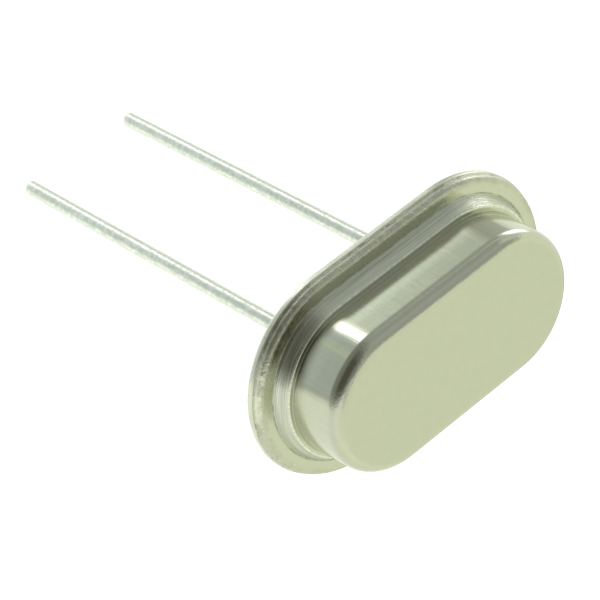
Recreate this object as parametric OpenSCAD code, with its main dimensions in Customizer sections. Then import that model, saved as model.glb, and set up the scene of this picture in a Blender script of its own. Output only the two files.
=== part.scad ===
// Low quartz crystal in a welded metal can, with two wire leads.
// A drawn can with a stepped flange is welded to a stamped base plate. Each lead
// passes through the base in a glass bead and carries a spring clip inside, and
// the two clips hold the ends of a quartz strip with a silver film on each face.
// Millimetres. The origin is on the base's underside, midway between the leads.
// +Z points out through the top of the can, and X runs from lead to lead.

/* [Base plate] */
// Length of the base plate over its round ends
base_length = 11.05; // [10.6:0.05:11.5]
// Width of the base plate, which is also the diameter of its round ends
base_width = 6.58; // [6.3:0.02:6.8]
// Thickness of the base plate at its rim
base_t = 0.27; // [0.25:0.01:0.3]
// Radius on the upper edge of the rim, which the flange meets
base_edge_r = 0.04; // [0.02:0.01:0.05]
// Radius on the lower edge of the rim, where the punch drew the metal down
base_under_r = 0.13; // [0.08:0.01:0.15]
// Height of the raised platform over the underside
platform_h = 0.85; // [0.7:0.01:1]
// Free gap between the platform's side and the inside of the can
platform_gap = 0.12; // [0.08:0.01:0.2]
// Radius on the platform's top edge
platform_edge_r = 0.08; // [0.03:0.01:0.12]
// Fillet where the platform rises from the plate
platform_foot_r = 0.1; // [0.03:0.01:0.15]

/* [Can] */
// Height of the can's top face over the base's underside
can_height = 2.67; // [2.55:0.01:3.5]
// Thickness of the drawn sheet
can_t = 0.25; // [0.2:0.01:0.26]
// Distance from the base plate's edge to the foot of the can's side wall
can_setback = 0.95; // [0.93:0.01:0.98]
// Distance by which the side wall leans in from its foot to the top
wall_lean = 0.03; // [0:0.01:0.05]
// Distance from the base plate's edge to the edge of the can's flange
rim_setback = 0.06; // [0.04:0.01:0.1]
// Radius on the top edge of the can's flange
rim_r = 0.16; // [0.1:0.01:0.18]
// Distance from the side wall out to the foot of the step
foot_out = 0.41; // [0.38:0.01:0.44]
// Fillet at the foot of the step
foot_r = 0.04; // [0.02:0.01:0.06]
// Distance from the side wall out to the ridge of the step
ridge_out = 0.17; // [0.16:0.01:0.2]
// Height of the ridge over the base's underside
ridge_z = 0.94; // [0.9:0.01:1]
// Radius on the ridge
ridge_r = 0.07; // [0.03:0.01:0.08]
// Fillet from the ridge into the side wall
shoulder_r = 0.04; // [0.02:0.01:0.06]
// Radius where the side wall turns into the top face
top_r = 0.39; // [0.3:0.01:0.45]

/* [Leads and glass beads] */
// Distance between the two lead axes
lead_pitch = 4.13; // [3.9:0.01:4.5]
// Diameter of each lead
lead_d = 0.48; // [0.4:0.01:0.5]
// Length of each lead below the base
lead_length = 14.9; // [3:0.1:16]
// Height of each lead's inner end over the platform
lead_stub = 0.25; // [0.15:0.01:0.35]
// Thickness of the tin coat on each lead
tin_t = 0.01; // [0.005:0.005:0.02]
// Distance from the base's underside down to the end of the tin coat
tin_stop = 0.1; // [0.02:0.01:0.3]
// Chamfer on the cut end of each lead
lead_chamfer = 0.03; // [0.01:0.01:0.06]
// Diameter of each glass bead
bead_d = 1.25; // [1.1:0.05:1.4]
// Depth of the dish in the glass between the lead and the metal
bead_dish = 0.06; // [0.03:0.01:0.1]

/* [Spring clips] */
// Width of the clip's strip
clip_w = 1.3; // [1:0.05:1.5]
// Thickness of the clip's strip
clip_t = 0.1; // [0.08:0.01:0.12]
// Length of the clip's foot on the inner side of the lead's axis
clip_foot = 0.3; // [0.25:0.01:0.35]
// Distance from the lead's axis out to the clip's riser
riser_out = 0.36; // [0.32:0.01:0.4]
// Height of the shelf's underside over the lead's inner end
shelf_rise = 0.3; // [0.25:0.01:0.35]
// Height of the end lip over the shelf
lip_h = 0.28; // [0.2:0.01:0.32]
// Inside radius of the clip's bends
bend_r = 0.06; // [0.03:0.01:0.08]

/* [Quartz strip] */
// Length of the quartz strip
blank_length = 7.1; // [6.8:0.1:7.4]
// Width of the quartz strip
blank_w = 1.9; // [1.6:0.05:2]
// Thickness of the quartz strip
blank_t = 0.17; // [0.1:0.01:0.25]
// Free gap between the strip's end and the clip's lip
blank_end_gap = 0.06; // [0.04:0.01:0.1]

/* [Silver films and glue] */
// Thickness of each silver film
film_t = 0.01; // [0.01:0.005:0.02]
// Length of the film's active area
film_length = 3.6; // [3:0.1:4]
// Width of the film's active area
film_w = 1.5; // [1.2:0.05:1.6]
// Width of the film's tab, which runs to one end of the strip
film_tab_w = 0.6; // [0.4:0.05:0.8]
// Radius of the glue dome on each end of the strip
glue_r = 0.36; // [0.3:0.01:0.42]
// Distance from the strip's end to the glue dome's centre
glue_in = 0.14; // [0.08:0.01:0.2]

/* [Hidden] */
$fn = 96;
LEFT = -1;
RIGHT = 1;

// Radii of the stadium outlines, all round the same two end centres
base_r = base_width / 2;
end_x = (base_length - base_width) / 2;
flange_r = base_r - rim_setback;
wall_r = base_r - can_setback;
platform_r = wall_r - can_t - platform_gap;

// Heights
flange_z = base_t + can_t;
lead_top = platform_h + lead_stub;
shelf_top = lead_top + shelf_rise + clip_t;
blank_z = shelf_top + film_t;
blank_top = blank_z + blank_t;

// Places along X
lead_x = lead_pitch / 2;
lip_x = blank_length / 2 + blank_end_gap;

// Metals, glass and quartz
nickel = [0.78, 0.79, 0.68];
tinned = [0.84, 0.87, 0.82];
bead_glass = [0.16, 0.22, 0.2];
spring_nickel = [0.72, 0.72, 0.66];
quartz = [0.86, 0.92, 0.95];
silver = [0.93, 0.93, 0.91];
silver_glue = [0.62, 0.6, 0.56];

// Unit vector that points from a to b
function heading(a, b) = (b - a) / norm(b - a);

// Unit vector square to the line from a to b, on its left
function left_of(a, b) = let(h = heading(a, b)) [-h.y, h.x];

// Point b of the line a-b-c, moved so that both its edges shift by d to their left
function shifted_corner(a, b, c, d) =
    let(n1 = left_of(a, b), n2 = left_of(b, c))
    b + d * (n1 + n2) / (1 + n1 * n2);

// The whole line p, shifted by d to its left
function shifted_line(p, d) = let(last = len(p) - 1) [
    for (i = [0:last])
        i == 0 ? p[0] + d * left_of(p[0], p[1])
        : i == last ? p[last] + d * left_of(p[last - 1], p[last])
        : shifted_corner(p[i - 1], p[i], p[i + 1], d)
];

// Same list, backwards
function reversed(p) = [for (i = [len(p) - 1:-1:0]) p[i]];

// Positive where the outline turns left at b, which is a convex corner
function turn(a, b, c) = cross(b - a, c - b);

// The sliver between corner b of a-b-c and the arc of radius r that rounds it
module corner_sliver(a, b, c, r) {
    u = heading(b, a);
    v = heading(b, c);
    half_angle = acos(u * v) / 2;
    reach = r / tan(half_angle);
    difference() {
        polygon([b, b + reach * u, b + reach * v]);
        translate(b + (u + v) / norm(u + v) * r / sin(half_angle)) circle(r);
    }
}

// Closed outline p, counter-clockwise, whose corners are rounded by the radii
module rounded_outline(p, radii) {
    count = len(p);
    difference() {
        polygon(p);
        for (i = [0:count - 1])
            let(a = p[(i + count - 1) % count], b = p[i], c = p[(i + 1) % count])
                if (radii[i] > 0 && turn(a, b, c) > 0) corner_sliver(a, b, c, radii[i]);
    }
    for (i = [0:count - 1])
        let(a = p[(i + count - 1) % count], b = p[i], c = p[(i + 1) % count])
            if (radii[i] > 0 && turn(a, b, c) < 0) corner_sliver(a, b, c, radii[i]);
}

// Carries a half profile (distance from the centre line, height) round the stadium
module round_the_can() {
    for (side = [LEFT, RIGHT])
        translate([side * end_x, 0, 0])
            rotate([0, 0, -90 * side]) rotate_extrude(angle = 180) children();
    rotate([90, 0, 90]) translate([0, 0, -end_x]) linear_extrude(2 * end_x) {
        children();
        mirror([1, 0]) children();
    }
}

// Section of the can's sheet. The line follows the outside from the rim to the top,
// and the inside is the same line shifted by the sheet's thickness.
module can_section() {
    outside = [
        [flange_r, flange_z],
        [wall_r + foot_out, flange_z],
        [wall_r + ridge_out, ridge_z],
        [wall_r, ridge_z],
        [wall_r - wall_lean, can_height],
        [0, can_height]
    ];
    inside = reversed(shifted_line(outside, can_t));
    // The inner side of each bend is limited by the sheet
    inner_shoulder_r = min(shoulder_r + can_t, ridge_out);
    radii_out = [rim_r, foot_r, ridge_r, shoulder_r, top_r, 0];
    radii_in = [0, top_r - can_t, inner_shoulder_r, 0, foot_r, 0];
    rounded_outline(concat(outside, inside), concat(radii_out, radii_in));
}

// Drawn and stamped can, one sheet of nickel silver
module can() {
    color(nickel) round_the_can() can_section();
}

// Half section of the base plate with its raised platform
module base_section() {
    rounded_outline(
        [[0, 0], [base_r, 0], [base_r, base_t], [platform_r, base_t],
            [platform_r, platform_h], [0, platform_h]],
        [0, base_under_r, base_edge_r, platform_foot_r, platform_edge_r, 0]
    );
}

// Stamped base plate, with a hole for each glass bead
module base() {
    color(nickel) difference() {
        round_the_can() base_section();
        for (side = [LEFT, RIGHT])
            translate([side * lead_x, 0, -base_t])
                cylinder(d = bead_d, h = platform_h + 2 * base_t);
    }
}

// Glass bead that holds and insulates one lead. The glass climbs the lead and the
// metal, so each face is dished between them.
module glass_bead(side) {
    bore_r = lead_d / 2 - tin_t;
    bead_wall = bead_d / 2 - bore_r;
    dish_r = (bead_wall * bead_wall / 4 + bead_dish * bead_dish) / (2 * bead_dish);
    color(bead_glass) translate([side * lead_x, 0, 0]) rotate_extrude() difference() {
        translate([bore_r, 0]) square([bead_wall, platform_h]);
        for (z = [bead_dish - dish_r, platform_h - bead_dish + dish_r])
            translate([bore_r + bead_wall / 2, z]) circle(dish_r);
    }
}

// Straight wire lead. The tin coat stops just under the glass, and the outer end is
// cut square.
module lead(side) {
    core_d = lead_d - 2 * tin_t;
    color(tinned) translate([side * lead_x, 0, -lead_length]) {
        translate([0, 0, lead_chamfer])
            cylinder(d = lead_d, h = lead_length - lead_chamfer - tin_stop);
        cylinder(d1 = lead_d - 2 * lead_chamfer, d2 = lead_d, h = lead_chamfer);
        translate([0, 0, lead_chamfer])
            cylinder(d = core_d, h = lead_length + lead_top - lead_chamfer);
    }
}

// Section of a spring clip: a foot on the lead's end, a riser, a shelf for the strip
// and a lip behind it. x is the distance from the lead's axis, away from the middle.
module clip_section() {
    shelf_z = shelf_rise;
    lip_out = lip_x - lead_x + clip_t;
    underside = [
        [-clip_foot, 0],
        [riser_out, 0],
        [riser_out, shelf_z],
        [lip_out, shelf_z],
        [lip_out, shelf_z + clip_t + lip_h]
    ];
    upper = reversed(shifted_line(underside, clip_t));
    outer_bend_r = bend_r + clip_t;
    rounded_outline(
        concat(underside, upper),
        [0, outer_bend_r, bend_r, outer_bend_r, 0, 0, bend_r, outer_bend_r, bend_r, 0]
    );
}

// Spring clip, folded from one strip and welded to the lead's inner end
module spring_clip(side) {
    color(spring_nickel) translate([side * lead_x, 0, lead_top])
        mirror([side == LEFT ? 1 : 0, 0, 0])
            rotate([90, 0, 0]) linear_extrude(clip_w, center = true) clip_section();
}

// Quartz strip that rests on the two shelves
module quartz_strip() {
    color(quartz) translate([-blank_length / 2, -blank_w / 2, blank_z])
        cube([blank_length, blank_w, blank_t]);
}

// Silver film: an active area in the middle, and a tab to one end of the strip
module electrode(side, z) {
    tab_length = blank_length / 2;
    color(silver) translate([0, 0, z]) linear_extrude(film_t) {
        square([film_length, film_w], center = true);
        translate([side * tab_length / 2, 0]) square([tab_length, film_tab_w], center = true);
    }
}

module electrode_top() {
    electrode(LEFT, blank_top);
}

module electrode_bottom() {
    electrode(RIGHT, shelf_top);
}

// Silver-filled glue: a dome over the strip's end that also fills the gap at the lip
module glue(side) {
    span = 2 * glue_r;
    color(silver_glue) difference() {
        intersection() {
            translate([side * (blank_length / 2 - glue_in), 0, blank_top]) sphere(glue_r);
            translate([side * (lip_x - glue_r), 0, shelf_top + glue_r])
                cube(span, center = true);
        }
        translate([-blank_length / 2, -blank_w / 2, shelf_top])
            cube([blank_length, blank_w, blank_top - shelf_top]);
        electrode_top();
        spring_clip(side);
    }
}

can();
base();
glass_bead(LEFT);  // glass_bead_left
glass_bead(RIGHT);  // glass_bead_right
lead(LEFT);  // lead_left
lead(RIGHT);  // lead_right
spring_clip(LEFT);  // spring_clip_left
spring_clip(RIGHT);  // spring_clip_right
quartz_strip();
electrode_top();
electrode_bottom();
glue(LEFT);  // glue_left
glue(RIGHT);  // glue_right
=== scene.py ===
import math

import bmesh
import bpy
import numpy as np
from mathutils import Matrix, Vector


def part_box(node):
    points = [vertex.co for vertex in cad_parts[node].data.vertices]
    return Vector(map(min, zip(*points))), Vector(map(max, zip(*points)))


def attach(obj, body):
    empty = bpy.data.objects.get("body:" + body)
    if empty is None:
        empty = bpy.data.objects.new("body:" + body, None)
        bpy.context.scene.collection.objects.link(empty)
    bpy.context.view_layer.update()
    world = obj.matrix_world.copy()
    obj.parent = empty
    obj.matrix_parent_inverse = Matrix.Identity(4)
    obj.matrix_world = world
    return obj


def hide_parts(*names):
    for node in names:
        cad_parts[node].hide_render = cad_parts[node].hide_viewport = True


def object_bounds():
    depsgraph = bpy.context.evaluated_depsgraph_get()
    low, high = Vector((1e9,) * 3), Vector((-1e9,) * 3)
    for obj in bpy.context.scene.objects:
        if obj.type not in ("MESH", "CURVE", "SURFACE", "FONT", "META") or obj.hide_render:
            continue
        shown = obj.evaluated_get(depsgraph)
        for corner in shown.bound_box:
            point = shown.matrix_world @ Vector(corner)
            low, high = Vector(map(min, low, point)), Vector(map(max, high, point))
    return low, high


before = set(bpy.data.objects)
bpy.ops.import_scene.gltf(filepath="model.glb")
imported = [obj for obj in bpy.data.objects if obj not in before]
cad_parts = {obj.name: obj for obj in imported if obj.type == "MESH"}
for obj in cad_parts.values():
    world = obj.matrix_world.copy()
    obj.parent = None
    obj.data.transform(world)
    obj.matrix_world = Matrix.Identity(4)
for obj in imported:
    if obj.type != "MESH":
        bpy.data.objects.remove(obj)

cad_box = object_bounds()


# ---- Camera -------------------------------------------------------------------------
# A long lens over the can's back left edge. It looks down on the top face and one
# long side, and it is rolled, so that the leads point up and to the left.
MM = 0.001
camera_place = (-35.043 * MM, 51.008 * MM, 53.093 * MM)
camera_turn_deg = (-27.629, -40.389, -17.286)
camera_lens_mm = 171.28

camera_data = bpy.data.cameras.new("camera")
camera_data.sensor_width = 36.0
camera_data.lens = camera_lens_mm
camera_data.clip_start = 0.005
camera_data.clip_end = 5.0
camera = bpy.data.objects.new("camera", camera_data)
camera.location = camera_place
camera.rotation_euler = [math.radians(a) for a in camera_turn_deg]
bpy.context.scene.collection.objects.link(camera)
bpy.context.scene.camera = camera
bpy.context.scene.view_settings.view_transform = "Standard"


# ---- Base plate ---------------------------------------------------------------------
# The base is one stamping of iron-nickel-cobalt alloy, nickel plated, with a raised
# platform. The punch drew its lower edge round and left a sheared band above it. Two
# holes take the glass.
base_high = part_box("base")[1]
base_r = base_high[1]
end_x = base_high[0] - base_r
base_t = 0.27 * MM
base_under_r = 0.13 * MM
base_edge_r = 0.04 * MM
platform_r = 1.97 * MM
platform_top = base_high[2]
platform_foot_r = 0.1 * MM
platform_edge_r = 0.08 * MM
bead_x = (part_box("lead_right")[0][0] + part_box("lead_right")[1][0]) / 2
bead_r = 0.625 * MM
base_colour = (0.74, 0.76, 0.67)
base_roughness = 0.2


def rounded_line(points, radii, steps):
    """A line whose corners are arcs. Each arc is centred on the corner's bisector, at
    radius / sin(half the corner's angle), and starts radius / tan(half the angle) from
    the corner; it is cut into equal angles."""
    points = np.array(points, float)
    out = [points[:1]]
    for before, here, after, radius in zip(points[:-2], points[1:-1], points[2:], radii[1:-1]):
        u = (before - here) / np.linalg.norm(before - here)
        v = (after - here) / np.linalg.norm(after - here)
        half = math.acos(np.clip(u @ v, -1, 1)) / 2
        if radius <= 0:
            out.append(here[None])
            continue
        middle = (u + v) / np.linalg.norm(u + v)
        centre = here + middle * radius / math.sin(half)
        start = here + u * radius / math.tan(half) - centre
        end = here + v * radius / math.tan(half) - centre
        sweep = math.atan2(start[0] * end[1] - start[1] * end[0], start @ end)
        angles = np.linspace(0, sweep, steps)[:, None]
        across = np.array([-start[1], start[0]])
        out.append(centre + np.cos(angles) * start + np.sin(angles) * across)
    out.append(points[-1:])
    return np.vstack(out)


def finer_line(line, longest):
    """The same line with each stretch cut into equal parts no longer than a limit."""
    pieces = []
    for a, b in zip(line[:-1], line[1:]):
        parts = max(1, math.ceil(np.linalg.norm(b - a) / longest))
        pieces.append(a + (b - a) * np.arange(parts)[:, None] / parts)
    return np.vstack(pieces + [line[-1:]])


def stadium_stations(round_steps, run_steps):
    """The way round a stadium, from the middle of the +X end and back to it. A station
    is an end centre's x and an outward angle, and an odd count of steps puts one at
    x = 0 on each straight."""
    quarter = math.pi / 2
    turn = np.linspace(0, quarter, round_steps)
    run = np.linspace(1, -1, run_steps + 2)[1:-1] * end_x
    flat = np.ones(run_steps)
    centre_x = np.concatenate([end_x + 0 * turn, run, -end_x + 0 * turn[:-1],
                               -end_x + 0 * turn, -run, end_x + 0 * turn])
    angle = np.concatenate([turn, quarter * flat, quarter + turn[:-1],
                            2 * quarter + turn, 3 * quarter * flat, 3 * quarter + turn])
    return centre_x, angle


def carried_round(line, stations):
    """A patch: a half section (distance from the middle line, height) carried round the
    stadium. A point lies at (centre x + distance * cos a, distance * sin a, height).
    Its four values are the way round and along the section, then the section's own
    distance and height, all in millimetres."""
    centre_x, angle = stations
    x = centre_x[:, None] + line[None, :, 0] * np.cos(angle)[:, None]
    y = line[None, :, 0] * np.sin(angle)[:, None]
    z = np.broadcast_to(line[None, :, 1], x.shape)
    outline = np.stack([centre_x + base_r * np.cos(angle), base_r * np.sin(angle)], 1)
    way = np.linalg.norm(np.diff(outline, axis=0, prepend=outline[:1]), axis=1).cumsum()
    along = np.linalg.norm(np.diff(line, axis=0, prepend=line[:1]), axis=1).cumsum()
    values = [way[:, None] + 0 * x, along + 0 * x, line[:, 0] + 0 * x, line[:, 1] + 0 * x]
    return np.stack([x, y, z], -1), np.stack(values, -1) / MM


def turned(line, centre_x, steps):
    """A patch: a half section (distance from an upright axis, height) turned round the
    axis at centre_x. A point lies at (centre_x + distance * cos a, distance * sin a,
    height). The values are as for a section carried round, with the way round taken at
    the section's widest place."""
    angle = np.linspace(0, 2 * math.pi, steps + 1)[:, None]
    x = centre_x + line[None, :, 0] * np.cos(angle)
    y = line[None, :, 0] * np.sin(angle)
    along = np.linalg.norm(np.diff(line, axis=0, prepend=line[:1]), axis=1).cumsum()
    values = [angle * line[:, 0].max() + 0 * x, along + 0 * x, line[:, 0] + 0 * x,
              line[:, 1] + 0 * x]
    return np.stack([x, y, line[:, 1] + 0 * x], -1), np.stack(values, -1) / MM


def patched(name, patches):
    """One closed mesh from patches, which are grids of points with four values each.
    Each square of a grid is a face, points that meet are merged, and the faces are
    turned outwards. The values become two UV maps, "way" and "section"."""
    faces, corners, start = [], [], 0
    for place, values in patches:
        rows, columns = place.shape[:2]
        index = np.arange(rows * columns).reshape(rows, columns)
        quads = np.stack([index[:-1, :-1], index[1:, :-1], index[1:, 1:], index[:-1, 1:]], -1)
        quads = quads.reshape(-1, 4)
        corners.append(values.reshape(-1, 4)[quads])
        faces.append(quads + start)
        start += rows * columns
    mesh = bpy.data.meshes.new(name)
    points = np.vstack([place.reshape(-1, 3) for place, values in patches])
    mesh.from_pydata(points.tolist(), [], np.vstack(faces).tolist())
    corners = np.vstack(corners)
    for layer_name, first in (("way", 0), ("section", 2)):
        layer = mesh.uv_layers.new(name=layer_name)
        layer.data.foreach_set("uv", corners[:, :, first:first + 2].ravel())
    work = bmesh.new()
    work.from_mesh(mesh)
    bmesh.ops.remove_doubles(work, verts=work.verts, dist=1e-8)
    bmesh.ops.dissolve_degenerate(work, edges=work.edges, dist=1e-9)
    bmesh.ops.recalc_face_normals(work, faces=work.faces)
    work.to_mesh(mesh)
    work.free()
    mesh.shade_smooth()
    piece = bpy.data.objects.new(name, mesh)
    bpy.context.scene.collection.objects.link(piece)
    return piece


def holed_cap(radius, height, side, stations, rows):
    """A patch: half of a flat stadium face, from a round hole out to the outline and the
    middle line x = 0. Outline point i is joined by a straight row to the hole's point in
    the direction of the same point on the plate's mean outline, so the hole's points are
    the same at every height."""
    centre_x, angle = stations

    def outline(r):
        edge = np.stack([centre_x + r * np.cos(angle), r * np.sin(angle)], 1)
        edge = edge[edge[:, 0] * side >= -1e-9]
        edge = edge[np.argsort(np.arctan2(edge[:, 1], edge[:, 0] * side), kind="stable")]
        cut = np.linspace(edge[-1], edge[0], 9)[1:]
        return np.vstack([edge, cut])

    hole = np.array([side * bead_x, 0])
    aim = outline((platform_r + base_r) / 2) - hole
    rim = hole + bead_r * aim / np.linalg.norm(aim, axis=1)[:, None]
    share = np.linspace(0, 1, rows)[:, None, None]
    flat = rim + share * (outline(radius) - rim)
    place = np.concatenate([flat, np.full(flat.shape[:2] + (1,), height)], -1)
    values = np.concatenate([flat, np.hypot(np.maximum(abs(flat[..., :1]) - end_x, 0),
                                            flat[..., 1:]), place[..., 2:]], -1)
    return place, values / MM


stations = stadium_stations(round_steps=41, run_steps=37)
longest_stretch = 0.06 * MM
# The two end points only show which way the flat faces run, and are dropped
inner = 0.1 * MM
base_corners = [[inner, 0], [base_r, 0], [base_r, base_t], [platform_r, base_t],
                [platform_r, platform_top], [inner, platform_top]]
base_radii = [0, base_under_r, base_edge_r, platform_foot_r, platform_edge_r, 0]
base_line = rounded_line(base_corners, base_radii, steps=14)
base_line = finer_line(base_line[1:-1], longest_stretch)
base_patches = [carried_round(base_line, stations)]
for side in (-1, 1):
    under = holed_cap(base_line[0, 0], base_line[0, 1], side, stations, rows=14)
    over = holed_cap(base_line[-1, 0], platform_top, side, stations, rows=8)
    share = np.linspace(0, 1, 12)[:, None, None]
    wall = [(1 - share) * low[:1] + share * high[:1] for low, high in zip(under, over)]
    base_patches += [under, over, wall]
base = patched("base_plate", base_patches)


def put(tree, kind, inputs={}, **settings):
    """One shader node. An input is linked where it is given a socket, or else set."""
    node = tree.nodes.new("ShaderNode" + kind)
    for name, value in settings.items():
        setattr(node, name, value)
    for name, value in inputs.items():
        if isinstance(value, bpy.types.NodeSocket):
            tree.links.new(value, node.inputs[name])
        else:
            node.inputs[name].default_value = value
    return node


def calc(tree, operation, a, b=0.0, c=0.0):
    """The result of one Math node."""
    return put(tree, "Math", {0: a, 1: b, 2: c}, operation=operation).outputs[0]


def times(tree, a, b):
    """The product of two values."""
    return calc(tree, "MULTIPLY", a, b)


def total(tree, *values):
    """The sum of two or more values, added in their order."""
    result = values[0]
    for value in values[1:]:
        result = calc(tree, "ADD", result, value)
    return result


def ramp(tree, value, low, high, at_low=0.0, at_high=1.0):
    """A smooth step from one level to another, as a value goes from low to high."""
    inputs = {"Value": value, "From Min": low, "From Max": high, "To Min": at_low,
              "To Max": at_high}
    return put(tree, "MapRange", inputs, interpolation_type="SMOOTHSTEP").outputs[0]


def blend(tree, share, a, b):
    """Colour a where the share is 0, and colour b where it is 1."""
    a, b = (c if isinstance(c, bpy.types.NodeSocket) else (*c, 1) for c in (a, b))
    return put(tree, "Mix", {0: share, 6: a, 7: b}, data_type="RGBA").outputs[2]


def new_group(name, inputs, outputs):
    """An empty node group with its sockets, and its two end nodes."""
    tree = bpy.data.node_groups.new(name, "ShaderNodeTree")
    for in_out, sockets in (("INPUT", inputs), ("OUTPUT", outputs)):
        for socket_name, kind in sockets.items():
            tree.interface.new_socket(name=socket_name, in_out=in_out,
                                      socket_type="NodeSocket" + kind)
    start = tree.nodes.new("NodeGroupInput").outputs
    end = tree.nodes.new("NodeGroupOutput").inputs
    return tree, start, end


def placed(tree, group, **inputs):
    """The output of a node group that is placed in a material with its own values."""
    return put(tree, "Group", inputs, node_tree=group).outputs[0]


# Fine grain of a metal's surface: cloudy noise of a given size, as a height from 0 to 1.
grain, start, end = new_group("grain", {"Place": "Vector", "Size": "Float"}, {"Height": "Float"})
scale = calc(grain, "DIVIDE", 1.0, start["Size"])
cloud = put(grain, "TexNoise", {"Vector": start["Place"], "Scale": scale, "Detail": 3.0,
                                "Roughness": 0.6})
grain.links.new(cloud.outputs[0], end["Height"])

# Tool marks: noise drawn out along one way of the surface, as a height from 0 to 1.
marks, start, end = new_group("tool_marks", {"Across": "Float", "Along": "Float",
                                             "Width": "Float", "Length": "Float"},
                              {"Height": "Float"})
place = put(marks, "CombineXYZ", {0: calc(marks, "DIVIDE", start["Across"], start["Width"]),
                                  1: calc(marks, "DIVIDE", start["Along"], start["Length"])})
cloud = put(marks, "TexNoise", {"Vector": place.outputs[0], "Scale": 1.0, "Detail": 2.5,
                                "Roughness": 0.65})
marks.links.new(cloud.outputs[0], end["Height"])

# Blotches: soft patches of cloudy noise; more of the surface is covered as Cover rises.
blotches, start, end = new_group("blotches", {"Place": "Vector", "Size": "Float",
                                              "Cover": "Float", "Blur": "Float"},
                                 {"Mask": "Float"})
scale = calc(blotches, "DIVIDE", 1.0, start["Size"])
cloud = put(blotches, "TexNoise", {"Vector": start["Place"], "Scale": scale, "Detail": 4.0,
                                   "Roughness": 0.6})
level = calc(blotches, "ADD", cloud.outputs[0], start["Cover"])
level = calc(blotches, "SUBTRACT", level, 1.0)
level = calc(blotches, "DIVIDE", level, start["Blur"])
blotches.links.new(ramp(blotches, level, -0.5, 0.5), end["Mask"])

# Pits and specks: round spots at scattered places; Share of the places have one.
specks, start, end = new_group("specks", {"Place": "Vector", "Size": "Float", "Share": "Float"},
                               {"Mask": "Float"})
scale = calc(specks, "DIVIDE", 1.0, start["Size"])
cell = put(specks, "TexVoronoi", {"Vector": start["Place"], "Scale": scale})
chance = put(specks, "SeparateColor", {0: cell.outputs["Color"]}).outputs[0]
chosen = calc(specks, "LESS_THAN", chance, start["Share"])
spot = ramp(specks, cell.outputs["Distance"], 0.15, 0.4, 1.0, 0.0)
specks.links.new(times(specks, spot, chosen), end["Mask"])

# Nearness, to a point of the surface or of its section: 1 within Reach, 0 past Blur more.
nearness, start, end = new_group("nearness", {"Place": "Vector", "Point": "Vector",
                                              "Reach": "Float", "Blur": "Float"},
                                 {"Mask": "Float"})
away = put(nearness, "VectorMath", {0: start["Place"], 1: start["Point"]}, operation="DISTANCE")
away = calc(nearness, "SUBTRACT", away.outputs["Value"], start["Reach"])
away = calc(nearness, "DIVIDE", away, start["Blur"])
nearness.links.new(ramp(nearness, away, 0.0, 1.0, 1.0, 0.0), end["Mask"])


def surface_nodes(name):
    """A material with its shader, and the object's own place in millimetres."""
    material = bpy.data.materials.new(name)
    material.use_nodes = True
    tree = material.node_tree
    object_place = put(tree, "TexCoord").outputs["Object"]
    place = put(tree, "VectorMath", {0: object_place, "Scale": 1 / MM}, operation="SCALE")
    return material, tree, tree.nodes["Principled BSDF"], place.outputs[0]


def patch_nodes(tree):
    """What the two UV maps of a patched mesh hold, in millimetres: the way round, the
    way along the section, the section's point, and its distance and its height."""
    way = put(tree, "UVMap", uv_map="way").outputs[0]
    section = put(tree, "UVMap", uv_map="section").outputs[0]
    u, v = put(tree, "SeparateXYZ", {0: way}).outputs[:2]
    r, z = put(tree, "SeparateXYZ", {0: section}).outputs[:2]
    return u, v, section, r, z


def finished(tree, shader, colour, roughness, height):
    """Links the colour, the roughness, and the height as a bump on the shader's normal.
    The height is in thousandths of a millimetre."""
    tree.links.new(colour, shader.inputs["Base Color"])
    tree.links.new(roughness, shader.inputs["Roughness"])
    bump = put(tree, "Bump", {"Strength": 1.0, "Distance": 0.001 * MM, "Height": height})
    tree.links.new(bump.outputs[0], shader.inputs["Normal"])


def micron(tree, height, depth, mask=1.0):
    """A height from 0 to 1 as a swing of depth thousandths round 0, where the mask is 1."""
    return times(tree, times(tree, calc(tree, "SUBTRACT", height, 0.5), depth), mask)


# The sheared band round the rim, from where it starts to where it is full
sheared_zone = (3.24, 3.28)
base_cloud_colour = (0.68, 0.7, 0.6)
base_pit_colour = (0.5, 0.5, 0.42)

base_metal, tree, shader, place = surface_nodes("base_nickel")
shader.inputs["Metallic"].default_value = 1.0
u, _, _, r, z = patch_nodes(tree)
rim = ramp(tree, r, *sheared_zone)
cloudy = placed(tree, blotches, Place=place, Size=0.9, Cover=0.5, Blur=0.3)
pits = placed(tree, specks, Place=place, Size=0.16, Share=0.22)
fine = placed(tree, grain, Place=place, Size=0.06)
coarse = placed(tree, grain, Place=place, Size=0.5)
sheared = placed(tree, marks, Across=u, Along=z, Width=0.05, Length=0.5)
colour = blend(tree, cloudy, base_colour, base_cloud_colour)
colour = blend(tree, times(tree, pits, 0.5), colour, base_pit_colour)
rough = calc(tree, "MULTIPLY_ADD", cloudy, 0.1, base_roughness)
rough = calc(tree, "MULTIPLY_ADD", rim, 0.08, rough)
height = total(tree, micron(tree, fine, 0.35), micron(tree, sheared, 1.6, rim),
               micron(tree, coarse, 1.5))
finished(tree, shader, colour, rough, height)
base.data.materials.append(base_metal)
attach(base, "root")
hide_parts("base")


# ---- Glass beads --------------------------------------------------------------------
# Each lead is sealed in its hole by a bead of glass, melted in place. The glass climbs
# the metal and the wire, so both its faces are dished.
lead_r = (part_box("lead_right")[1][0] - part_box("lead_right")[0][0]) / 2
tin_t = 0.01 * MM
core_r = lead_r - tin_t
bead_dish = 0.06 * MM
bead_colour = (0.11, 0.16, 0.14)
bead_smoke_colour = (0.2, 0.27, 0.24)
bubble_colour = (0.45, 0.52, 0.48)

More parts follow.
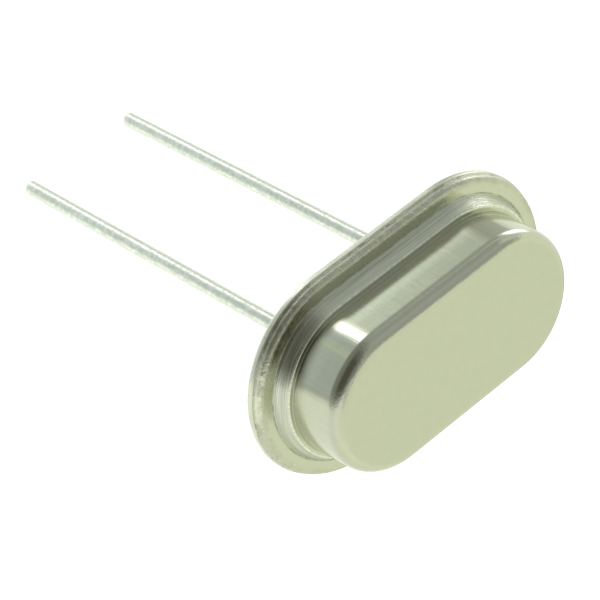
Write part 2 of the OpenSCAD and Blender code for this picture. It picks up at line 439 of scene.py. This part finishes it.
bead_glass, tree, shader, place = surface_nodes("bead_glass")
shader.inputs["IOR"].default_value = 1.51
shader.inputs["Transmission Weight"].default_value = 0.25
smoke = placed(tree, grain, Place=place, Size=0.4)
bubbles = placed(tree, specks, Place=place, Size=0.09, Share=0.3)
colour = blend(tree, smoke, bead_colour, bead_smoke_colour)
colour = blend(tree, times(tree, bubbles, 0.6), colour, bubble_colour)
rough = ramp(tree, smoke, 0.2, 0.8, 0.05, 0.14)
height = calc(tree, "SUBTRACT", micron(tree, smoke, 3.0), times(tree, bubbles, 1.5))
finished(tree, shader, colour, rough, height)

for name, centre_x in (("left", -bead_x), ("right", bead_x)):
    across = np.linspace(-1, 1, 25)
    face_r = (core_r + bead_r) / 2 + across * (bead_r - core_r) / 2
    dish = bead_dish * (1 - across ** 2)
    bead_line = np.concatenate([np.stack([face_r, dish], 1),
                                np.stack([face_r, platform_top - dish], 1)[::-1]])
    bead_line = finer_line(np.vstack([bead_line, bead_line[:1]]), 0.1 * MM)
    bead = patched("glass_seal_" + name, [turned(bead_line, centre_x, 64)])
    bead.data.materials.append(bead_glass)
    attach(bead, "root")
    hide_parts("glass_bead_" + name)


# ---- Leads --------------------------------------------------------------------------
# Each lead is a straight wire of the base's alloy, tinned by dipping up to the glass. The
# tin is pale and a little uneven, with drag marks along it, and its end is cut square.
# Shade is painted on the tin, darker towards the can.
lead_low, lead_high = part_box("lead_right")[0][2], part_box("lead_right")[1][2]
lead_chamfer = 0.03 * MM
tin_stop = -0.1 * MM
tin_edge_r = 0.012 * MM
tin_stop_r = 0.008 * MM
tin_colour = (0.945, 0.965, 0.93)
tin_dull_colour = (0.8, 0.85, 0.78)
tin_drag_colour = (0.66, 0.71, 0.64)
# Painted shade on the tin next to the can
tin_shade_near_can_colour = (0.6, 0.66, 0.6)
wire_end_colour = (0.62, 0.62, 0.6)
# Heights between which painted shade darkens the tin towards the can, and at which the cut end is
shade_near_can_zone = (-4.5, -0.3)
cut_end_zone = (-14.89, -14.85)

tin, tree, shader, place = surface_nodes("dipped_tin")
shader.inputs["Metallic"].default_value = 1.0
u, _, _, _, z = patch_nodes(tree)
shade_near_can = ramp(tree, z, *shade_near_can_zone)
cut_end = ramp(tree, z, *cut_end_zone, 1.0, 0.0)
drag = placed(tree, marks, Across=u, Along=z, Width=0.06, Length=0.35)
dull = placed(tree, blotches, Place=place, Size=0.13, Cover=0.52, Blur=0.25)
long_dull = placed(tree, blotches, Place=place, Size=1.3, Cover=0.5, Blur=0.4)
fine = placed(tree, grain, Place=place, Size=0.07)
coarse = placed(tree, grain, Place=place, Size=0.35)
colour = blend(tree, dull, tin_colour, tin_dull_colour)
colour = blend(tree, ramp(tree, drag, 0.5, 0.68, 0, 0.5), colour, tin_drag_colour)
# Painted shade: the tin is darker towards the can
colour = blend(tree, times(tree, shade_near_can, 0.15), colour, tin_shade_near_can_colour)
colour = blend(tree, times(tree, cut_end, 0.6), colour, wire_end_colour)
rough = calc(tree, "MULTIPLY_ADD", dull, 0.12, 0.26)
rough = calc(tree, "MULTIPLY_ADD", long_dull, 0.08, rough)
height = total(tree, micron(tree, drag, 1.0), micron(tree, fine, 0.6),
               micron(tree, coarse, 3.0))
finished(tree, shader, colour, rough, height)

for name, centre_x in (("left", -bead_x), ("right", bead_x)):
    lead_line = np.array([[0, lead_low], [lead_r - lead_chamfer, lead_low],
                          [lead_r, lead_low + lead_chamfer], [lead_r, tin_stop],
                          [core_r, tin_stop], [core_r, lead_high], [0, lead_high]])
    lead_line = rounded_line(lead_line, [0, tin_edge_r, tin_edge_r, tin_stop_r, 0, 0, 0], 6)
    lead_line = finer_line(lead_line, 0.12 * MM)
    lead = patched("lead_wire_" + name, [turned(lead_line, centre_x, 64)])
    lead.data.materials.append(tin)
    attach(lead, "root")
    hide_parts("lead_" + name)


# ---- Spring clips -------------------------------------------------------------------
# Each clip is folded from one strip of rolled nickel and welded by its foot to a lead's
# inner end. Its rolling lines run along X, over the foot and the shelf.
clip_colour = (0.66, 0.64, 0.53)
clip_cloud_colour = (0.6, 0.57, 0.45)
clip_line_colour = (0.75, 0.74, 0.66)

clip_nickel, tree, shader, place = surface_nodes("rolled_nickel")
shader.inputs["Metallic"].default_value = 1.0
x, y = put(tree, "SeparateXYZ", {0: place}).outputs[:2]
rolled = placed(tree, marks, Across=y, Along=x, Width=0.03, Length=0.8)
cloudy = placed(tree, blotches, Place=place, Size=0.6, Cover=0.5, Blur=0.35)
fine = placed(tree, grain, Place=place, Size=0.05)
colour = blend(tree, cloudy, clip_colour, clip_cloud_colour)
colour = blend(tree, ramp(tree, rolled, 0.5, 0.8, 0, 0.4), colour, clip_line_colour)
rough = calc(tree, "MULTIPLY_ADD", cloudy, 0.1, 0.24)
height = total(tree, micron(tree, rolled, 0.8), micron(tree, fine, 0.4))
finished(tree, shader, colour, rough, height)
for name in ("spring_clip_left", "spring_clip_right"):
    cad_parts[name].material_slots[0].material = clip_nickel


# ---- Quartz strip -------------------------------------------------------------------
# The resonator is a thin strip sawn from a quartz crystal and lapped with fine powder,
# so it is clear inside and finely frosted on its faces.
quartz_colour = (0.93, 0.96, 0.97)
quartz_wave_colour = (0.86, 0.91, 0.94)

quartz, tree, shader, place = surface_nodes("lapped_quartz")
shader.inputs["IOR"].default_value = 1.544
shader.inputs["Transmission Weight"].default_value = 0.85
frost = placed(tree, grain, Place=place, Size=0.03)
wave = placed(tree, grain, Place=place, Size=1.5)
colour = blend(tree, wave, quartz_colour, quartz_wave_colour)
rough = ramp(tree, wave, 0.3, 0.7, 0.3, 0.42)
finished(tree, shader, colour, rough, micron(tree, frost, 0.9))
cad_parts["quartz_strip"].material_slots[0].material = quartz


# ---- Silver films -------------------------------------------------------------------
# A film of silver is evaporated through a mask on each face of the strip. It follows
# the frosted quartz under it and is thinner, and so darker, at its edge.
film_colour = (0.93, 0.92, 0.88)
film_cloud_colour = (0.88, 0.85, 0.77)
film_edge_colour = (0.7, 0.66, 0.56)
# The thin edge, from where it starts to where the film stops, along X and along Y
film_edge_x = (1.7, 1.8)
film_edge_y = (0.68, 0.75)

film, tree, shader, place = surface_nodes("silver_film")
shader.inputs["Metallic"].default_value = 1.0
x, y = put(tree, "SeparateXYZ", {0: place}).outputs[:2]
thin = calc(tree, "MAXIMUM", ramp(tree, calc(tree, "ABSOLUTE", x), *film_edge_x),
            ramp(tree, calc(tree, "ABSOLUTE", y), *film_edge_y))
cloudy = placed(tree, blotches, Place=place, Size=0.8, Cover=0.48, Blur=0.4)
frost = placed(tree, grain, Place=place, Size=0.03)
colour = blend(tree, cloudy, film_colour, film_cloud_colour)
colour = blend(tree, times(tree, thin, 0.6), colour, film_edge_colour)
rough = calc(tree, "MULTIPLY_ADD", thin, 0.1, 0.32)
finished(tree, shader, colour, rough, micron(tree, frost, 0.7))
for name in ("electrode_top", "electrode_bottom"):
    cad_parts[name].material_slots[0].material = film


# ---- Glue domes ---------------------------------------------------------------------
# A dome of epoxy filled with silver flake holds each end of the strip on its clip and
# carries the current to the film. It cured dull, with flakes that glint.
glue_colour = (0.5, 0.49, 0.46)
flake_colour = (0.8, 0.79, 0.76)

glue, tree, shader, place = surface_nodes("silver_glue")
shader.inputs["Metallic"].default_value = 0.6
flakes = placed(tree, specks, Place=place, Size=0.04, Share=0.45)
lumps = placed(tree, grain, Place=place, Size=0.15)
colour = blend(tree, flakes, glue_colour, flake_colour)
rough = calc(tree, "MULTIPLY_ADD", flakes, -0.3, 0.62)
height = total(tree, micron(tree, lumps, 8.0), times(tree, flakes, 1.5))
finished(tree, shader, colour, rough, height)
for name in ("glue_left", "glue_right"):
    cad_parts[name].material_slots[0].material = glue


# ---- Can ----------------------------------------------------------------------------
# The can is one sheet of nickel silver, drawn into a cup with round ends. Its flange
# and step were pressed in the same die, and the flange is welded down on the base.
can_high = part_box("can")[1]
can_t = 0.25 * MM
rim_r = 0.16 * MM
foot_out = 0.41 * MM
foot_r = 0.04 * MM
ridge_out = 0.17 * MM
ridge_z = 0.94 * MM
ridge_r = 0.07 * MM
shoulder_r = 0.015 * MM
top_r = 0.39 * MM
flange_r = can_high[1]
flange_z = base_t + can_t
can_top = can_high[2]
wall_r = base_r - 0.95 * MM
# The weld fills the corner between flange and base with a small fillet
weld_r = 0.05 * MM
weld_out = 0.8 * weld_r
weld_fillet_r = 0.06 * MM
# The drawn wall is straight at its foot and leans in a little more towards the top
wall_lean = 0.03 * MM
wall_bow = 0.009 * MM
bow_rise = 0.6 * MM
bow_r = 20 * MM
# It springs out at its foot: from some way along the straights and round both ends, a
# little less on the right, and once more at the two far ends
foot_spring = 0.02 * MM
spring_top = 1.4 * MM
spring_start, spring_full = 1.4 * MM, 3.0 * MM
right_share = 0.75
end_spring = 0.018 * MM
end_top = 2.2 * MM
end_start, end_full = 3.9 * MM, 4.5 * MM


def shifted_line(points, by):
    """The line moved to its left by a distance: each corner moves by
    distance * (n1 + n2) / (1 + n1.n2), where n1 and n2 are its edges' left normals."""
    step = np.diff(points, axis=0)
    step /= np.linalg.norm(step, axis=1)[:, None]
    left = np.stack([-step[:, 1], step[:, 0]], 1)
    n1 = np.vstack([left[:1], left])
    n2 = np.vstack([left, left[-1:]])
    return points + by * (n1 + n2) / (1 + (n1 * n2).sum(1))[:, None]


outside = np.array([
    [flange_r, flange_z],
    [wall_r + foot_out, flange_z],
    [wall_r + ridge_out, ridge_z],
    [wall_r, ridge_z],
    [wall_r - wall_lean, can_top],
    [0, can_top],
])
inside = shifted_line(outside, can_t)[::-1]
bowed = [wall_r + wall_bow - wall_lean / 3, ridge_z + bow_rise]
section_points = np.vstack([inside, [[flange_r + weld_out, base_t]],
                            [[flange_r, base_t + weld_r]],
                            outside[:4], [bowed], outside[4:]])
section_radii = [0, top_r - can_t, ridge_out, 0, foot_r, 0, 0, weld_fillet_r,
                 rim_r, foot_r, ridge_r, shoulder_r, bow_r, top_r, 0]
can_line = rounded_line(section_points, section_radii, steps=16)
can_line = finer_line(can_line, longest_stretch)
can_place, can_values = carried_round(can_line, stations)
from_middle = abs(can_place[..., 0])
on_outer_wall = ((abs(can_values[..., 2] * MM - wall_r) < 0.032 * MM)
                 * (can_place[..., 2] > ridge_z - 0.001 * MM))


def sprung(depth, top, start, full, end_share=1):
    """How far the outer wall stands out: depth * h^2 * (3 s^2 - 2 s^3). Here h is 1 at
    the wall's foot and 0 at the top, and s goes from 0 to the end's share between two
    distances from the can's middle."""
    h = np.clip((top - can_place[..., 2]) / (top - ridge_z), 0, 1) * on_outer_wall
    s = np.clip((from_middle - start) / (full - start), 0, 1) * end_share
    return depth * h ** 2 * (3 * s ** 2 - 2 * s ** 3)


spring = (sprung(foot_spring, spring_top, spring_start, spring_full,
                 np.where(can_place[..., 0] < 0, 1, right_share))
          + sprung(end_spring, end_top, end_start, end_full))
can_place[..., 0] += spring * np.cos(stations[1])[:, None]
can_place[..., 1] += spring * np.sin(stations[1])[:, None]
can = patched("can_shell", [(can_place, can_values)])

can_roughness = 0.16
can_colour = (0.556, 0.572, 0.467)
can_cloud_colour = (0.6, 0.615, 0.515)
# The step's slope is painted lighter, as lit, and its lower part darker, as painted shade
lit_slope_colour = (0.63, 0.66, 0.56)
low_slope_shade_colour = (0.48, 0.5, 0.43)
bright_line_colour = (0.74, 0.77, 0.68)
dull_line_colour = (0.4, 0.41, 0.35)
# Painted shade at the wall's foot
wall_foot_shade_colour = (0.52, 0.525, 0.44)
# The ridge's colour is partly wear and partly a painted highlight
worn_ridge_highlight_colour = (0.82, 0.85, 0.76)
# Painted shade, dark in the crease
crease_shade_colour = (0.2, 0.19, 0.14)
rim_stain_colour = (0.4, 0.4, 0.32)
rim_tarnish_colour = (0.44, 0.42, 0.33)
rim_speck_colour = (0.9, 0.91, 0.88)
# Painted light: the seam is given a lighter colour
painted_seam_light_colour = (0.84, 0.86, 0.76)
seam_stain_colour = (0.36, 0.37, 0.27)
brown_stain_colour = (0.31, 0.28, 0.21)
# The bright rim patch is partly rubbing and partly a painted highlight
rubbed_highlight_colour = (0.87, 0.9, 0.74)
# The can's zones, in millimetres: where each starts and where it is full, or where it
# starts to fade and where it is gone, by distance from the middle line or by height
wall_from_r, wall_from_z, wall_to_z = (2.2, 2.28), (1.0, 1.15), (2.25, 2.5)
foot_shade_to_r, foot_shade_to_z = (2.38, 2.42), (1.1, 1.35)
slope_from_r, slope_to_r, slope_shade_to_z = (2.49, 2.53), (2.71, 2.75), (0.58, 0.9)
flange_from_r, flange_to_r = (2.8, 2.88), (3.1, 3.25)
rim_from_r, rub_highlight_from_r = (2.99, 3.21), (3.16, 3.27)
edge_from_z, edge_to_z, face_from_z = (2.32, 2.45), (2.645, 2.662), (2.65, 2.668)
# Lines of the section and places on the can, in millimetres
crease_line = (2.752, 0.522, 0)
corner_line = (2.342, 0.942, 0)
ridge_line = (2.51, 0.935, 0)
seam_line = (3.25, 0.28, 0)
stain_place = (-3.75, 2.6, 0.5)
rub_highlight_place = (-5.2, 1.35, 0.42)

can_metal, tree, shader, place = surface_nodes("nickel_silver")
shader.inputs["Metallic"].default_value = 1.0
u, v, section, r, z = patch_nodes(tree)
fine = placed(tree, grain, Place=place, Size=0.07)
coarse = placed(tree, grain, Place=place, Size=0.13)
cloudy = placed(tree, grain, Place=place, Size=0.25)
drawn = placed(tree, marks, Across=u, Along=v, Width=0.11, Length=2.2)
pressed = placed(tree, marks, Across=v, Along=u, Width=0.04, Length=5.0)
stained = placed(tree, blotches, Place=place, Size=0.45, Cover=0.44, Blur=0.2)
tarnish = placed(tree, blotches, Place=place, Size=0.5, Cover=0.37, Blur=0.12)
patchy = placed(tree, blotches, Place=place, Size=0.3, Cover=0.5, Blur=0.35)
bright_specks = placed(tree, specks, Place=place, Size=0.1, Share=0.2)
crease = placed(tree, nearness, Place=section, Point=crease_line, Reach=0.01, Blur=0.03)
corner = placed(tree, nearness, Place=section, Point=corner_line, Reach=0.015, Blur=0.05)
ridge = placed(tree, nearness, Place=section, Point=ridge_line, Reach=0.015, Blur=0.05)
seam = placed(tree, nearness, Place=section, Point=seam_line, Reach=0.03, Blur=0.06)
near_stain = placed(tree, nearness, Place=place, Point=stain_place, Reach=0.6, Blur=0.9)
near_rub_highlight = placed(tree, nearness, Place=place, Point=rub_highlight_place, Reach=0.5, Blur=0.9)

ragged_r = calc(tree, "MULTIPLY_ADD", cloudy, 0.12, r)
rim = ramp(tree, ragged_r, *rim_from_r)
wall = times(tree, ramp(tree, r, *wall_from_r), ramp(tree, z, *wall_from_z))
wall = times(tree, wall, ramp(tree, z, *wall_to_z, 1, 0))
off_wall = calc(tree, "SUBTRACT", 1.0, wall)
wall_foot_shade = times(tree, ramp(tree, r, *foot_shade_to_r, 1, 0), ramp(tree, z, *foot_shade_to_z, 1, 0))
slope = times(tree, ramp(tree, r, *slope_from_r), ramp(tree, r, *slope_to_r, 1, 0))
low_slope_shade = times(tree, slope, ramp(tree, z, *slope_shade_to_z, 1, 0))
edge = times(tree, ramp(tree, z, *edge_from_z), ramp(tree, z, *edge_to_z, 1, 0))
face = ramp(tree, z, *face_from_z)

# Drawing left bright and dull lines up the wall, and pressing left them along the step
bright_lines = total(tree, times(tree, ramp(tree, drawn, 0.5, 0.68, 0, 0.11), wall),
                     times(tree, ramp(tree, pressed, 0.52, 0.66, 0, 0.9), slope))
dull_lines = total(tree, times(tree, ramp(tree, drawn, 0.34, 0.48, 0.09, 0), wall),
                   times(tree, ramp(tree, pressed, 0.34, 0.46, 0.7, 0), slope))
colour = blend(tree, cloudy, can_colour, can_cloud_colour)
# Painted light on the slope, and painted shade on its lower part towards the crease
colour = blend(tree, slope, colour, lit_slope_colour)
colour = blend(tree, times(tree, low_slope_shade, 0.6), colour, low_slope_shade_colour)
colour = blend(tree, bright_lines, colour, bright_line_colour)
colour = blend(tree, dull_lines, colour, dull_line_colour)
# Painted shade: the wall is darker at its foot
colour = blend(tree, times(tree, wall_foot_shade, 0.7), colour, wall_foot_shade_colour)
# The ridge is painted lighter: partly wear, partly a painted highlight
worn_and_highlight = times(tree, ridge, ramp(tree, drawn, 0.36, 0.6, 0.1, 0.7))
colour = blend(tree, worn_and_highlight, colour, worn_ridge_highlight_colour)

# Shade is painted dark into the crease and faintly into the corner at the wall's foot, and
# the rim and its weld are stained, tarnished and specked
# Painted shade in the crease, uneven, and a little in the corner at the wall's foot
crease_shade = times(tree, calc(tree, "MAXIMUM", crease, times(tree, corner, 0.1)),
             calc(tree, "MULTIPLY_ADD", patchy, 0.5, 0.15))
colour = blend(tree, crease_shade, colour, crease_shade_colour)
colour = blend(tree, times(tree, times(tree, rim, stained), 0.35), colour, rim_stain_colour)
colour = blend(tree, times(tree, times(tree, rim, tarnish), 0.35), colour, rim_tarnish_colour)
colour = blend(tree, times(tree, times(tree, rim, bright_specks), 0.6), colour, rim_speck_colour)
# Painted light on the seam, as a lighter colour
colour = blend(tree, times(tree, seam, 0.55), colour, painted_seam_light_colour)
seam_stain = times(tree, seam, ramp(tree, stained, 0.3, 0.8, 0, 0.5))
colour = blend(tree, seam_stain, colour, seam_stain_colour)

# Near the left end one brown stain runs along the flange and the seam. Next to it the rim is
# painted bright: partly rubbed by handling, partly a painted highlight
flange = times(tree, ramp(tree, ragged_r, *flange_from_r),
               ramp(tree, ragged_r, *flange_to_r, 1, 0.25))
brown = times(tree, calc(tree, "MAXIMUM", flange, seam),
              calc(tree, "MULTIPLY_ADD", patchy, 0.35, 0.5))
colour = blend(tree, times(tree, brown, near_stain), colour, brown_stain_colour)
rubbed_and_highlight = times(tree, ramp(tree, ragged_r, *rub_highlight_from_r),
               ramp(tree, cloudy, 0.35, 0.6, 0.35, 0.9))
colour = blend(tree, times(tree, rubbed_and_highlight, near_rub_highlight), colour, rubbed_highlight_colour)

rough = calc(tree, "MULTIPLY_ADD", rim, 0.24, can_roughness)
rough = calc(tree, "MULTIPLY_ADD", face, 0.2, rough)
rough = calc(tree, "MULTIPLY_ADD", calc(tree, "MAXIMUM", crease_shade, seam), 0.25, rough)
height = total(tree, micron(tree, fine, 0.7), micron(tree, drawn, 2.3, wall),
               micron(tree, pressed, 24.0, slope), micron(tree, coarse, 26.0, rim),
               micron(tree, fine, 6.0, rim), micron(tree, pressed, 4.0, rim),
               micron(tree, fine, 1.6, edge), micron(tree, coarse, 5.0, edge),
               micron(tree, cloudy, 3.0, off_wall))
finished(tree, shader, colour, rough, height)
can.data.materials.append(can_metal)
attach(can, "root")
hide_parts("can")


# ---- Floor and light ----------------------------------------------------------------
# The part stands on its lead tips on white paper. The room round it is white below and
# behind, grey in front and on the right, and has two lamps low down on the right.
floor_half = 0.5
floor_z = cad_box[0][2]
floor_corners = [(-floor_half, -floor_half, floor_z), (floor_half, -floor_half, floor_z),
                 (floor_half, floor_half, floor_z), (-floor_half, floor_half, floor_z)]
floor_mesh = bpy.data.meshes.new("floor")
floor_mesh.from_pydata(floor_corners, [], [(0, 1, 2, 3)])
floor = bpy.data.objects.new("floor", floor_mesh)
bpy.context.scene.collection.objects.link(floor)
floor.visible_glossy = False
paper = bpy.data.materials.new("paper")
paper.use_nodes = True
paper_shader = paper.node_tree.nodes["Principled BSDF"]
paper_shader.inputs["Base Color"].default_value = (0.9, 0.9, 0.9, 1)
paper_shader.inputs["Specular IOR Level"].default_value = 0.0
paper_shader.inputs["Emission Color"].default_value = (1, 1, 1, 1)
paper_shader.inputs["Emission Strength"].default_value = 0.6
floor_mesh.materials.append(paper)

# A direction is given by its height over the level, and by its turn, clockwise seen from
# above, from the room's front, which lies 34.4 degrees from the +Y axis towards -X.
front_deg = 124.4
world = bpy.data.worlds.new("studio")
bpy.context.scene.world = world
world.use_nodes = True
tree = world.node_tree
heading = put(tree, "TexCoord").outputs["Generated"]
front = math.radians(front_deg)
ahead = put(tree, "VectorMath", {0: heading, 1: (math.cos(front), math.sin(front), 0)},
            operation="DOT_PRODUCT").outputs["Value"]
right = put(tree, "VectorMath", {0: heading, 1: (math.sin(front), -math.cos(front), 0)},
            operation="DOT_PRODUCT").outputs["Value"]
up = put(tree, "SeparateXYZ", {0: heading}).outputs[2]
turn = calc(tree, "DEGREES", calc(tree, "ARCTAN2", right, ahead))
rise = calc(tree, "DEGREES", calc(tree, "ARCSINE", up))


def lit(behind, colour, left=None, right=None, low=None, high=None, side_blur=6, blur=6, slant=0):
    """A colour laid over the room behind it between two turns and two heights, in
    degrees; its right edge moves by slant degrees for each degree of height."""
    masks = []
    if left is not None:
        masks.append(ramp(tree, turn, left - side_blur, left + side_blur))
    if right is not None:
        leaned = calc(tree, "MULTIPLY_ADD", rise, -slant, turn) if slant else turn
        masks.append(ramp(tree, leaned, right - side_blur, right + side_blur, 1, 0))
    if low is not None:
        masks.append(ramp(tree, rise, low - blur, low + blur))
    if high is not None:
        masks.append(ramp(tree, rise, high - blur, high + blur, 1, 0))
    mask = masks[0]
    for other in masks[1:]:
        mask = times(tree, mask, other)
    return blend(tree, mask, behind, colour)


# White all round: yellower behind, brighter on the left and on the paper below
light = (0.98, 1.0, 0.93)
light = lit(light, (0.985, 1.03, 0.82), left=110, low=0, side_blur=15, blur=10)
light = lit(light, (0.985, 1.03, 0.82), right=-95, low=0, side_blur=15, blur=10)
light = lit(light, (1.06, 1.09, 0.93), -160, -62, 25, 48, 12, 12)
light = lit(light, (1.05, 1.09, 0.96), high=-20, blur=15)
# A pale grey stretch below the level behind, and a grey ceiling
light = lit(light, (0.7, 0.72, 0.68), left=160, low=-60, high=0, side_blur=7, blur=8)
light = lit(light, (0.7, 0.72, 0.68), right=-170, low=-60, high=0, side_blur=7, blur=8)
light = lit(light, (0.5, 0.52, 0.49), low=72, blur=10)
# Grey on the right of the ceiling, in front and on the right, with paler and darker parts
light = lit(light, (0.46, 0.475, 0.43), 50, 145, low=61, side_blur=14, blur=10)
light = lit(light, (0.46, 0.475, 0.43), -50, 86)
light = lit(light, (0.46, 0.475, 0.43), 60, 92, low=-8, slant=0.6)
light = lit(light, (0.43, 0.455, 0.42), 52, 80, 2, 28, 6, 6)
light = lit(light, (0.5, 0.51, 0.51), 52, 84, 34, 54, 6, 5)
light = lit(light, (0.56, 0.575, 0.51), 50, 145, low=78, side_blur=10, blur=6)
# The front is darker in its middle, and darkest above the level
light = lit(light, (0.26, 0.27, 0.245), -38, 42, low=-36, side_blur=10, blur=3)
light = lit(light, (0.11, 0.105, 0.08), -35, 26, 2, 58, 12, 12)
# The ceiling's paler left side, and a pale strip on the right
light = lit(light, (0.75, 0.78, 0.68), -170, -50, low=78, side_blur=15, blur=5)
light = lit(light, (0.72, 0.75, 0.68), 77, 104, 2, 32, 4, 4)
# The grey table below, in front in three tones, and on the right
light = lit(light, (0.56, 0.615, 0.585), -44, 44, high=-35, side_blur=4, blur=2.5)
light = lit(light, (0.63, 0.695, 0.69), -44, 44, high=-39, side_blur=4, blur=1.2)
light = lit(light, (0.72, 0.78, 0.64), 14, 25, high=-36, side_blur=4, blur=2)
light = lit(light, (0.5, 0.52, 0.46), 74, 116, high=-34, side_blur=4, blur=2)
# The wide lamp on the right, a pale strip beside it, and its light on the paper
light = lit(light, (3.3, 3.3, 3.3), 93, 118, -31, -8, 6, 5)
light = lit(light, (0.8, 0.83, 0.78), 62, 94, -9, -3, 3, 2)
light = lit(light, (1.3, 1.41, 1.28), 44, 76, high=-38.7, side_blur=5, blur=2.3)
# The paper close round the part, and the narrow lamp
light = lit(light, (1.1, 1.13, 1.06), high=-53, blur=5)
light = lit(light, (2.9, 2.9, 2.9), 43, 59, high=-36, side_blur=2.5, blur=2)
# What the camera itself sees behind the part is plain white
seen = put(tree, "LightPath").outputs["Is Camera Ray"]
light = blend(tree, seen, light, (1, 1, 1))
tree.links.new(light, tree.nodes["Background"].inputs["Color"])
